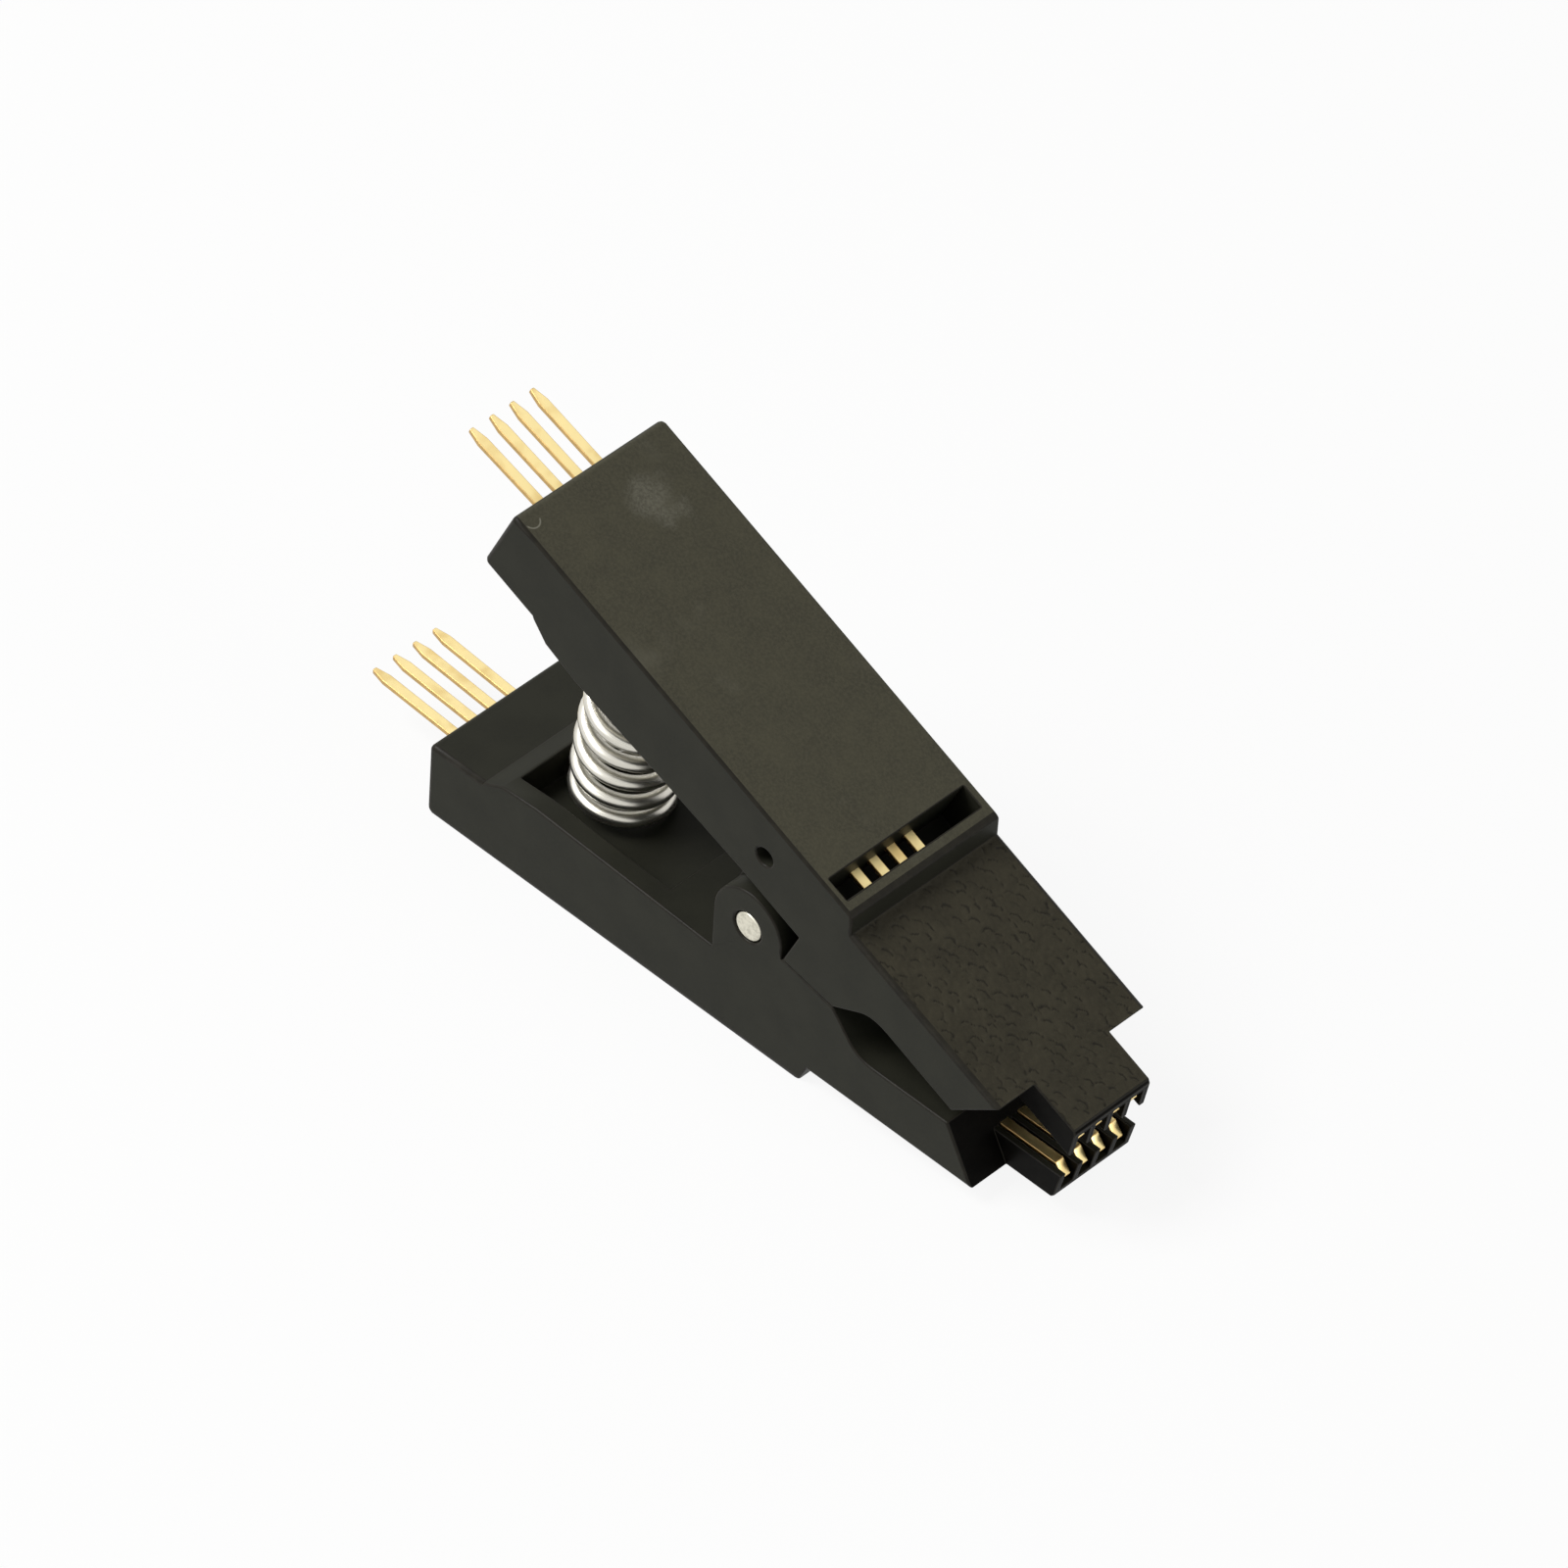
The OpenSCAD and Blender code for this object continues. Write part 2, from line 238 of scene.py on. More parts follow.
def geometry_tree(name, inputs):
    """A Geometry Nodes tree with named inputs: (name, socket type, default)."""
    tree = bpy.data.node_groups.new(name, "GeometryNodeTree")
    tree.interface.new_socket("Geometry", in_out="INPUT", socket_type="NodeSocketGeometry")
    for label, kind, default in inputs:
        tree.interface.new_socket(label, in_out="INPUT", socket_type=kind).default_value = default
    tree.interface.new_socket("Geometry", in_out="OUTPUT", socket_type="NodeSocketGeometry")
    return tree


def run_tree(obj, tree, values):
    """Runs a tree on an object with values by input name, and settles the result."""
    mod = obj.modifiers.new(tree.name, "NODES")
    mod.node_group = tree
    sockets = {s.name: s.identifier for s in tree.interface.items_tree if s.in_out == "INPUT"}
    for label, value in values.items():
        mod[sockets[label]] = value
    return settled(obj)


def kept_as(tree, geometry, name, value, kind="FLOAT"):
    """Stores a value on the points of a geometry under a name."""
    return add(tree, "GeometryNodeStoreNamedAttribute", {"Geometry": geometry, "Name": name, "Value": value},
               data_type=kind, domain="POINT").outputs[0]


def named(tree, name, kind="FLOAT"):
    """Reads a stored value by its name."""
    return add(tree, "GeometryNodeInputNamedAttribute", {"Name": name}, data_type=kind).outputs[0]


# ---------------------------------------------------------------- materials

def shader(name, **values):
    """A material with a Principled shader, whose sockets take the values, with _ for a space."""
    material = bpy.data.materials.new(name)
    material.use_nodes = True
    tree = material.node_tree
    principled = tree.nodes["Principled BSDF"]
    for key, value in values.items():
        principled.inputs[key.replace("_", " ").title().replace("Ior", "IOR")].default_value = value
    return material, tree, principled


def feed(tree, bsdf, **sockets):
    """Links sockets to the shader's inputs, named with _ for a space."""
    for key, socket in sockets.items():
        tree.links.new(socket, bsdf.inputs[key.replace("_", " ").title()])


def object_coords(tree):
    """The place on the object in metres, the same in every pose."""
    return add(tree, "ShaderNodeTexCoord").outputs["Object"]


def noise(tree, coords, size, detail, roughness):
    """Noise whose features are about size metres across."""
    return add(tree, "ShaderNodeTexNoise", {
        "Vector": coords, "Scale": 1.0 / size, "Detail": detail, "Roughness": roughness}).outputs[0]


def bumped(tree, height, strength, depth):
    """A normal that follows a height pattern of this depth."""
    return add(tree, "ShaderNodeBump", {"Height": height, "Strength": strength, "Distance": depth}).outputs[0]


def mix_colour(tree, share, a, b):
    """Mixes two colours by share."""
    return add(tree, "ShaderNodeMix", {0: share, 6: a, 7: b}, data_type="RGBA").outputs[2]


def scaled(colour_value, factor):
    """A colour made lighter or darker by a factor."""
    return tuple(c * factor for c in colour_value[:3]) + (1.0,)


def shaded(tree, pattern, colour_value, dark, light):
    """A colour that goes from dark to light times itself with a noise pattern."""
    share = ramped(tree, pattern, 0.3, 0.7)
    return mix_colour(tree, share, scaled(colour_value, dark), scaled(colour_value, light))


# Rubbed patches on the upper plate: (place in the jaw's own frame, full radius, outer radius, strength)
SCUFFS = ((Vector((-19.2, -1.7, 0.0)) * MM, 0.3 * MM, 1.9 * MM, 0.5),
          (Vector((-18.2, -2.3, 0.0)) * MM, 0.1 * MM, 1.2 * MM, 0.35))
SCUFF_RAGGED = 2.4 * MM
# A short curved nick by the rear corner of the upper plate: centre, radius, half width of its line
NICK_AT, NICK_RADIUS, NICK_LINE = Vector((-21.7, 4.6, 0.0)) * MM, 0.45 * MM, (0.02 * MM, 0.06 * MM)


def scuffed(tree, coords, base, at, inner, outer, amount, patterns, pale):
    """The base colour with a ragged pale patch round a place."""
    mottle, speckle = patterns
    away = maths(tree, "SUBTRACT", vectors(tree, "DISTANCE", coords, at), SCUFF_RAGGED / 2)
    away = maths(tree, "MULTIPLY_ADD", mottle, SCUFF_RAGGED, away)
    near = ramped(tree, away, inner, outer, amount, 0.0)
    patchy = maths(tree, "MULTIPLY", near, ramped(tree, speckle, 0.35, 0.65, 0.45, 1.0))
    return mix_colour(tree, patchy, base, pale)


def nicked(tree, coords, base, at, pale):
    """The base colour with half a fine pale ring round a place."""
    away = vectors(tree, "DISTANCE", coords, at)
    off = maths(tree, "ABSOLUTE", maths(tree, "SUBTRACT", away, NICK_RADIUS))
    line = ramped(tree, off, *NICK_LINE, 1.0, 0.0)
    offset = add(tree, "ShaderNodeSeparateXYZ", {0: vectors(tree, "SUBTRACT", coords, at)})
    half = ramped(tree, offset.outputs["X"], 0.05 * MM, 0.2 * MM)
    return mix_colour(tree, maths(tree, "MULTIPLY", line, half), base, pale)


def eroded_plate(colours, turn):
    """Glass-filled PBT from a spark-eroded mould: matt brown-black with a fine speckle, and paler where
    it has been rubbed."""
    material, tree, bsdf = shader("PBT Eroded Plate", roughness=0.55, specular_ior_level=0.2)
    coords = object_coords(tree)
    speckle = noise(tree, coords, 0.16 * MM, 3.0, 0.7)
    mottle = noise(tree, coords, 1.8 * MM, 4.0, 0.6)
    rub = noise(tree, coords, 5.5 * MM, 3.0, 0.55)
    base = shaded(tree, speckle, colours.plate, 0.8, 1.25)
    base = mix_colour(tree, ramped(tree, mottle, 0.35, 0.75, 0.0, 0.45), base, scaled(colours.plate, 1.5))
    base = mix_colour(tree, ramped(tree, rub, 0.6, 0.75, 0.0, 0.3), base, colours.rubbed[:])
    for at, inner, outer, amount in SCUFFS:
        base = scuffed(tree, coords, base, turn @ at, inner, outer, amount, (mottle, speckle),
                       colours.scuff[:])
    base = nicked(tree, coords, base, turn @ NICK_AT, colours.scuff[:])
    feed(tree, bsdf, base_color=base, roughness=ramped(tree, mottle, 0.3, 0.7, 0.5, 0.62),
         normal=bumped(tree, speckle, 0.35, 0.02 * MM))
    return material


def smooth_side(colours):
    """Glass-filled PBT from a smoother mould wall: even dark grey with a very fine tooth."""
    material, tree, bsdf = shader("PBT Smooth Side", roughness=0.5, specular_ior_level=0.1)
    coords = object_coords(tree)
    fine = noise(tree, coords, 0.12 * MM, 2.0, 0.6)
    base = shaded(tree, noise(tree, coords, 2.5 * MM, 3.0, 0.5), colours.side, 0.88, 1.12)
    base = mix_colour(tree, ramped(tree, fine, 0.3, 0.7, 0.0, 0.3), base, scaled(colours.side, 1.3))
    feed(tree, bsdf, base_color=base, normal=bumped(tree, fine, 0.2, 0.01 * MM))
    return material


def grained_grip(colours):
    """Glass-filled PBT from an etched leather-grain mould: matt and brownish, with painted shade that darkens
    it down in the creases.
    """
    material, tree, bsdf = shader("PBT Leather Grain", roughness=0.56, specular_ior_level=0.12)
    coords = object_coords(tree)
    crease = add(tree, "ShaderNodeAttribute", attribute_name="crease").outputs["Fac"]
    fine = noise(tree, coords, 0.14 * MM, 3.0, 0.6)
    base = shaded(tree, noise(tree, coords, 1.6 * MM, 3.0, 0.55), colours.grip, 0.85, 1.2)
    base = mix_colour(tree, ramped(tree, fine, 0.3, 0.7, 0.0, 0.4), base, scaled(colours.grip, 1.35))
    # Painted shade: the grip colour darkened to a third of itself down in the creases of the grain
    base = mix_colour(tree, ramped(tree, crease, 0.15, 0.9, 0.0, 0.75), base, scaled(colours.grip, 0.3))
    feed(tree, bsdf, base_color=base, normal=bumped(tree, fine, 0.3, 0.015 * MM))
    return material


def moulded_edge(colours):
    """Glass-filled PBT where it flowed round an edge of the mould: resin-rich, smoother and darker."""
    material, tree, bsdf = shader("PBT Moulded Edge", roughness=0.42, specular_ior_level=0.12)
    cloud = noise(tree, object_coords(tree), 0.6 * MM, 3.0, 0.6)
    feed(tree, bsdf, base_color=shaded(tree, cloud, colours.edge, 0.8, 1.3))
    return material


def painted_wall_shade(colours):
    """Glass-filled PBT on the slanted front walls and nose sides: painted shade, a near-black colour for the
    shade that falls under and between the jaws, with a faint even sheen.
    """
    material, tree, bsdf = shader("PBT Painted Wall Shade", roughness=0.45, specular_ior_level=0.03)
    cloud = noise(tree, object_coords(tree), 0.9 * MM, 3.0, 0.6)
    feed(tree, bsdf, base_color=shaded(tree, cloud, colours.wall_shade, 0.7, 1.4))
    return material


def drawn_wire(colours):
    """Bright drawn spring steel: satin bright, with faint die lines along the wire."""
    material, tree, bsdf = shader("Drawn Spring Steel", metallic=1.0, roughness=0.3)
    along = add(tree, "ShaderNodeAttribute", attribute_name="wire").outputs["Vector"]
    lines = add(tree, "ShaderNodeMapping", {"Vector": along, "Scale": (3.0, 60.0, 1.0)})
    drawn = noise(tree, lines, 1.0, 3.0, 0.6)
    base = mix_colour(tree, ramped(tree, drawn, 0.3, 0.7), scaled(colours.steel, 0.8), colours.steel[:])
    feed(tree, bsdf, base_color=base, roughness=ramped(tree, drawn, 0.3, 0.7, 0.26, 0.36))
    return material


def cropped_pin(colours):
    """Cropped and tumbled steel: a dull bright end with faint pits."""
    material, tree, bsdf = shader("Cropped Steel Pin", metallic=1.0, roughness=0.35)
    pits = noise(tree, object_coords(tree), 0.25 * MM, 4.0, 0.6)
    base = mix_colour(tree, ramped(tree, pits, 0.35, 0.6), scaled(colours.pin, 0.75), colours.pin[:])
    feed(tree, bsdf, base_color=base, roughness=ramped(tree, pits, 0.3, 0.7, 0.45, 0.3),
         normal=bumped(tree, pits, 0.3, 0.01 * MM))
    return material


def gold_flash(colours):
    """Thin gold plating over stamped brass: satin pale gold, a little redder where the plating is thin."""
    material, tree, bsdf = shader("Gold Flash on Brass", metallic=1.0, roughness=0.28)
    coords = object_coords(tree)
    rolled = noise(tree, coords, 0.5 * MM, 2.0, 0.5)
    thin = noise(tree, coords, 1.4 * MM, 2.0, 0.5)
    base = mix_colour(tree, ramped(tree, thin, 0.45, 0.75), colours.gilt[:], colours.thin_gilt[:])
    feed(tree, bsdf, base_color=base, roughness=ramped(tree, rolled, 0.3, 0.7, 0.3, 0.38))
    return material


def sheared_brass(colours):
    """Bare brass on the sheared edges of the stamped strips: duller and browner than the plated faces."""
    material, tree, bsdf = shader("Sheared Brass Edge", metallic=1.0, roughness=0.45)
    bands = noise(tree, object_coords(tree), 0.4 * MM, 2.0, 0.5)
    base = mix_colour(tree, ramped(tree, bands, 0.3, 0.7), scaled(colours.sheared, 0.85), colours.sheared[:])
    feed(tree, bsdf, base_color=base)
    return material


# ---------------------------------------------------------------- jaws

# Slots of the jaws' materials
SIDE, PLATE, GRIP, EDGE, WALL_SHADE = range(5)
# The rear end is rounded as one run with the plate, up to the ramp that leads down to the rails
RAMP_X = -18.4 * MM
# The narrow ledge under the parting plane, finer than any rounding: its place and how near counts
LEDGE_X, LEDGE_Z, LEDGE_REACH = 2.4 * MM, 7.34 * MM, 0.12 * MM
# Edges that turn less than this are parts of a curve
CURVE_TURN = 25
# Where the front faces of shank and nose begin, ahead of the plate, and where the nose lies
FRONT_RUN, NOSE_X, NOSE_HALF = 8 * MM, 16 * MM, 3 * MM
# The way the arcs of the leather grain bulge, in the jaw's own frame
RISE = Vector((-0.434, -0.901, 0.0))


def on_lid(face, low, high, z):
    """Is a face part of the flat grip face?"""
    centre = face.calc_center_median()
    return face.normal.z < -0.99 and low < centre.x < high and abs(centre.z - z) < 0.02 * MM


def edge_weight(edge, sizes, half_w, lip_z):
    """How much an edge of the jaw is rounded: long outer edges fully, and small ones a little."""
    small = sizes.round_small / sizes.round_main
    if len(edge.link_faces) != 2 or math.degrees(edge.calc_face_angle(0.0)) < CURVE_TURN:
        return 0.0
    a, b = (v.co for v in edge.verts)
    middle = (a + b) / 2
    if abs(middle.x - LEDGE_X) < LEDGE_REACH and abs(middle.z - LEDGE_Z) < LEDGE_REACH:
        return 0.0
    if not edge.is_convex:
        return small * 0.5
    if abs(a.y - b.y) > HAIR or abs(abs(a.y) - half_w) > HAIR:
        return small
    on_plate = max(a.z, b.z) < HAIR
    on_rear = max(a.x, b.x) < RAMP_X
    on_grip = abs(a.z - lip_z) < HAIR and abs(b.z - lip_z) < HAIR
    return 1.0 if on_plate or on_rear or on_grip else 0.45


def cut_grid(bm, wanted, spacing):
    """Cuts the wanted flat faces into a grid of about this spacing, and returns the faces it makes."""
    # Keeps each cut off the corners that are there already
    nudge, merge = 1.7e-7, 1e-8
    mark = bm.faces.layers.int.new("grain_face")
    faces = [f for f in bm.faces if wanted(f)]
    for face in faces:
        face[mark] = 1
    corners = [v.co for f in faces for v in f.verts]
    for axis in (0, 1):
        low, high = min(c[axis] for c in corners), max(c[axis] for c in corners)
        count = int((high - low) / spacing)
        normal = Vector((1, 0, 0)) if axis == 0 else Vector((0, 1, 0))
        for i in range(1, count):
            at = Vector((0, 0, 0))
            at[axis] = low + (high - low) * i / count + nudge
            region = [f for f in bm.faces if f[mark] == 1
                      and min(v.co[axis] for v in f.verts) < at[axis] < max(v.co[axis] for v in f.verts)]
            edges = {e for f in region for e in f.edges}
            verts = {v for f in region for v in f.verts}
            bmesh.ops.bisect_plane(bm, geom=region + list(edges) + list(verts), dist=merge,
                                   plane_co=at, plane_no=normal)
    return [f for f in bm.faces if f[mark] == 1]


def grain_tree(material):
    """Leather grain: one short arched crease in each warped cell, over a low swell."""
    tree = geometry_tree("Leather Grain", [
        ("Cell", "NodeSocketFloat", 0.001), ("Depth", "NodeSocketFloat", 0.00005),
        ("Seed", "NodeSocketInt", 0)])
    source = add(tree, "NodeGroupInput").outputs
    mask = named(tree, "grain")
    per_cell = maths(tree, "DIVIDE", 1.0, source["Cell"])
    plan = stretched(tree, add(tree, "GeometryNodeInputPosition"), per_cell)
    # The cells are wider across the way they bulge than along it
    across = vectors(tree, "DOT_PRODUCT", plan, Vector((-RISE.y, RISE.x, 0.0)) * 0.88)
    upward = vectors(tree, "DOT_PRODUCT", plan, RISE * 1.2)
    shift = add(tree, "ShaderNodeCombineXYZ", {"X": source["Seed"], "Y": 0.37})
    leaned = vectors(tree, "ADD", add(tree, "ShaderNodeCombineXYZ", {"X": across, "Y": upward}), shift)
    warp = add(tree, "ShaderNodeTexNoise", {"Vector": leaned, "Scale": 1.5, "Detail": 2.0}).outputs["Color"]
    warp = stretched(tree, vectors(tree, "SUBTRACT", warp, (0.5, 0.5, 0.5)), 0.55)
    warped = vectors(tree, "ADD", leaned, warp)
    cells = add(tree, "ShaderNodeTexVoronoi", {"Vector": warped, "Scale": 1.0, "Randomness": 0.8},
                voronoi_dimensions="2D", feature="F1").outputs
    by_cell = add(tree, "ShaderNodeSeparateXYZ", {0: cells["Color"]}).outputs
    # The arc lies at its own radius from the middle of the cell, on the side that the cell faces
    radius = maths(tree, "MULTIPLY_ADD", by_cell[0], 0.16, 0.3)
    off = maths(tree, "ABSOLUTE", maths(tree, "SUBTRACT", cells["Distance"], radius))
    groove = ramped(tree, off, 0.02, 0.13, 1.0, 0.0)
    tilt = maths(tree, "MULTIPLY_ADD", by_cell[1], 1.2, -0.6)
    facing = add(tree, "ShaderNodeCombineXYZ", {
        "X": maths(tree, "SINE", tilt), "Y": maths(tree, "COSINE", tilt)})
    away = vectors(tree, "SUBTRACT", vectors(tree, "MULTIPLY", warped, (1.0, 1.0, 0.0)), cells["Position"])
    ahead = maths(tree, "DIVIDE", vectors(tree, "DOT_PRODUCT", away, facing),
                  maths(tree, "MAXIMUM", cells["Distance"], 0.01))
    front = ramped(tree, ahead, 0.05, 0.65)
    share = ramped(tree, by_cell[2], 0.0, 0.4, 0.5, 1.0)
    crease = maths(tree, "MULTIPLY", groove, front)
    crease = maths(tree, "MULTIPLY", crease, share)
    crease = maths(tree, "MULTIPLY", crease, mask)
    swell = add(tree, "ShaderNodeTexNoise", {"Vector": leaned, "Scale": 2.2, "Detail": 2.0}).outputs["Fac"]
    swell = maths(tree, "MULTIPLY", ramped(tree, swell, 0.3, 0.7, 0.0, 0.7), mask)
    rise = maths(tree, "MULTIPLY", maths(tree, "ADD", crease, swell), source["Depth"])
    # The crease is kept for the grip material, which paints shade into it
    marked = kept_as(tree, source["Geometry"], "crease", crease)
    moved = add(tree, "GeometryNodeSetPosition", {
        "Geometry": marked, "Offset": add(tree, "ShaderNodeCombineXYZ", {"Z": rise})})
    real = add(tree, "GeometryNodeRealizeInstances", {"Geometry": moved})
    painted = add(tree, "GeometryNodeSetMaterial", {
        "Geometry": real, "Selection": named(tree, "grain_face", "INT"), "Material": material})
    add(tree, "NodeGroupOutput", {"Geometry": painted})
    return tree


class CLIP_OT_jaws(bpy.types.Operator):
    """Rounds both jaws, cuts the leather grain into their grips and gives them their moulded finish, with
    painted shade on the front walls and in the grain's creases
    """
    bl_idname = "clip.jaws"
    bl_label = "Make Jaws"

    def execute(self, context):
        sizes, colours = context.scene.clip_sizes, context.scene.clip_colours
        turns = {"lower": Matrix.Identity(4), "upper": jaw_turn()}
        skins = [smooth_side(colours), eroded_plate(colours, turns["upper"]), grained_grip(colours),
                 moulded_edge(colours), painted_wall_shade(colours)]
        tree = grain_tree(skins[GRIP])
        for body, turn in turns.items():
            self.make(body + "_jaw", body, turn, sizes, skins, tree)
        return {"FINISHED"}

    def finish_of(self, face, plate_x, lip_z):
        """The slot of a flat face, by the way it looks and where it lies."""
        at = face.calc_center_median()
        if face.normal.z < -0.7 and at.z < 0.5 * lip_z:
            return PLATE
        # Painted shade: the slanted fronts and the nose sides take the near-black wall colour, for the shade
        # under and between the jaws
        front = face.normal.x > 0.3 and at.x > plate_x + FRONT_RUN
        nose_side = abs(face.normal.y) > 0.9 and at.x > NOSE_X and abs(at.y) < NOSE_HALF
        return WALL_SHADE if front or nose_side else SIDE

    def make(self, node, body, turn, sizes, skins, tree):
        """One jaw, worked in its own frame, where it lies on its plate, and then turned into place."""
        bm = merged_copy(node, turn)
        half_w = max(v.co.y for v in bm.verts)
        plate = max(bm.faces, key=lambda f: f.calc_area())
        plate_x = max(v.co.x for v in plate.verts)
        grip = max((f for f in bm.faces if f.normal.z < -0.99 and f.calc_center_median().x > plate_x),
                   key=lambda f: f.calc_area())
        lip_z = grip.verts[0].co.z
        weight = bm.edges.layers.float.new("bevel_weight_edge")
        for edge in bm.edges:
            edge[weight] = edge_weight(edge, sizes, half_w, lip_z)
        obj = bevelled(place(node + "_moulding", bm, skins), sizes.round_main, slot=EDGE)

        bm = bmesh.new()
        bm.from_mesh(obj.data)
        mask = bm.verts.layers.float.new("grain")
        grip_area = 1 * MM * MM
        made = cut_grid(bm, lambda f: on_lid(f, plate_x, 1.0, lip_z) and f.calc_area() > grip_area,
                        sizes.grain_grid)
        chosen = set(made)
        for vert in {v for f in made for v in f.verts}:
            vert[mask] = 1.0 if all(f in chosen for f in vert.link_faces) else 0.0
        for face in bm.faces:
            if face.material_index != EDGE:
                face.material_index = self.finish_of(face, plate_x, lip_z)
        bm.to_mesh(obj.data)
        bm.free()
        run_tree(obj, tree, {"Cell": sizes.grain_cell, "Depth": sizes.grain_depth, "Seed": sizes.seed})
        smooth(obj)
        obj.data.transform(turn)
        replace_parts(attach(obj, body), node)


# ---------------------------------------------------------------- spring

# The pitch of the closed end turns in wires, and the gap between each end and its floor
CLOSED_PITCH, FLOOR_GAP = 1.1, 0.02 * MM


def coil_tree(material):
    """A coil on an arc: closed, open and closed turns of round wire, square to both floors."""
    tree = geometry_tree("Arc Coil", [
        ("Coil Radius", "NodeSocketFloat", 0.0025), ("Wire Diameter", "NodeSocketFloat", 0.00085),
        ("Turns", "NodeSocketFloat", 9.5), ("Centre", "NodeSocketVector", (0.0, 0.0, 0.0)),
        ("Arc Radius", "NodeSocketFloat", 0.035), ("Arc Angle", "NodeSocketFloat", 0.4),
        ("Steps", "NodeSocketInt", 48), ("Sides", "NodeSocketInt", 18)])
    source = add(tree, "NodeGroupInput").outputs
    wire, turns, coil, arc = (source[k] for k in ("Wire Diameter", "Turns", "Coil Radius", "Arc Radius"))
    do = partial(maths, tree)
    dense = add(tree, "GeometryNodeResampleCurve", {
        "Curve": add(tree, "GeometryNodeCurvePrimitiveLine"),
        "Count": do("MULTIPLY", turns, source["Steps"])})
    along = add(tree, "GeometryNodeSplineParameter").outputs["Factor"]
    turn = do("MULTIPLY", along, turns)

    # Rise after each turn: a closed first and last turn, and an even pitch in between
    closed = do("MULTIPLY", wire, CLOSED_PITCH)
    middle = do("SUBTRACT", turns, 2.0)
    length = do("MULTIPLY", arc, source["Arc Angle"])
    travel = do("SUBTRACT", do("SUBTRACT", length, wire), 2 * FLOOR_GAP)
    pitch = do("DIVIDE", do("SUBTRACT", travel, do("MULTIPLY", closed, 2.0)), middle)
    first = do("MINIMUM", turn, 1.0)
    last = do("MAXIMUM", do("SUBTRACT", turn, do("SUBTRACT", turns, 1.0)), 0.0)
    open_turns = do("MAXIMUM", do("MINIMUM", do("SUBTRACT", turn, 1.0), middle), 0.0)
    rise = do("ADD", do("MULTIPLY", do("ADD", first, last), closed), do("MULTIPLY", open_turns, pitch))
    rise = do("ADD", do("MULTIPLY_ADD", wire, 0.5, FLOOR_GAP), rise)

    # The rise runs along an arc round the place where the two floors would meet
    lean = do("DIVIDE", rise, arc)
    phase = do("MULTIPLY", turn, 2 * math.pi)
    reach = do("MULTIPLY_ADD", do("COSINE", phase), coil, arc)
    point = add(tree, "ShaderNodeCombineXYZ", {
        "X": do("MULTIPLY", do("MULTIPLY", reach, -1.0), do("COSINE", lean)),
        "Y": do("MULTIPLY", coil, do("SINE", phase)), "Z": do("MULTIPLY", reach, do("SINE", lean))})
    wound = add(tree, "GeometryNodeSetPosition", {
        "Geometry": dense, "Position": vectors(tree, "ADD", point, source["Centre"])})
    ring = add(tree, "GeometryNodeCurvePrimitiveCircle", {
        "Resolution": source["Sides"], "Radius": do("MULTIPLY", wire, 0.5)})
    swept = add(tree, "GeometryNodeCurveToMesh", {
        "Curve": kept_as(tree, wound, "along", turn), "Profile Curve": kept_as(tree, ring, "around", along),
        "Fill Caps": True})

    # Turns along the wire and share round it, for the die lines
    pair = add(tree, "ShaderNodeCombineXYZ", {"X": named(tree, "along"), "Y": named(tree, "around")})
    marked = kept_as(tree, swept, "wire", pair, "FLOAT_VECTOR")
    smoothed = add(tree, "GeometryNodeSetShadeSmooth", {"Geometry": marked})
    real = add(tree, "GeometryNodeRealizeInstances", {"Geometry": smoothed})
    painted = add(tree, "GeometryNodeSetMaterial", {"Geometry": real, "Material": material})
    add(tree, "NodeGroupOutput", {"Geometry": painted})
    return tree


class CLIP_OT_spring(bpy.types.Operator):
    """Winds the spring on the arc between the two handle floors"""
    bl_idname = "clip.spring"
    bl_label = "Make Spring"

    def execute(self, context):
        sizes = context.scene.clip_sizes
        steel = drawn_wire(context.scene.clip_colours)
        turn = jaw_turn()
        angle = math.atan2(-turn[2][0], turn[0][0])
        # The two floors would meet at this x ahead of the hinge
        meet = (HINGE.z - sizes.coil_floor) / math.tan(angle / 2)
        radius = meet + sizes.coil_back
        obj = place("coil_spring", bmesh.new(), [steel])
        run_tree(obj, coil_tree(steel), {
            "Coil Radius": (sizes.coil_d - sizes.wire_d) / 2, "Wire Diameter": sizes.wire_d,
            "Turns": sizes.turns, "Centre": (meet, 0.0, sizes.coil_floor),
            "Arc Radius": radius, "Arc Angle": angle})
        obj.data.set_sharp_from_angle(angle=math.radians(50))
        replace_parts(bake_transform(obj), "spring")
        return {"FINISHED"}


# ---------------------------------------------------------------- pin and contacts

# The dark gap round the pin in its bore
PIN_PLAY = 0.03 * MM
# Slots of the contacts' materials
PLATED, SHEARED = range(2)


class CLIP_OT_pin(bpy.types.Operator):
    """Turns the hinge pin with rounded ends"""
    bl_idname = "clip.pin"
    bl_label = "Make Pin"

    def execute(self, context):
        sizes = context.scene.clip_sizes
        low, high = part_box("hinge_pin")
        radius, half = (high.z - low.z) / 2 - PIN_PLAY, (high.y - low.y) / 2
        soft = sizes.pin_round
        profile = [(0.0, -half)] + [
            (radius - soft + soft * math.sin(a), -half + soft - soft * math.cos(a))
            for a in (math.radians(angle) for angle in range(0, 91, 15))]
        profile += [(r, -y) for r, y in reversed(profile)]
        bm = bmesh.new()
        verts = [bm.verts.new((r, y, 0)) for r, y in profile]
        edges = [bm.edges.new(pair) for pair in zip(verts, verts[1:])]
        bmesh.ops.spin(bm, geom=verts + edges, cent=(0, 0, 0), axis=(0, 1, 0), angle=2 * math.pi, steps=72)
        bmesh.ops.remove_doubles(bm, verts=bm.verts, dist=1e-7)
        bmesh.ops.recalc_face_normals(bm, faces=bm.faces)
        bmesh.ops.translate(bm, vec=HINGE, verts=bm.verts)
        obj = smooth(place("steel_pin", bm, [cropped_pin(context.scene.clip_colours)]))
        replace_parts(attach(obj, "lower"), "hinge_pin")
        return {"FINISHED"}


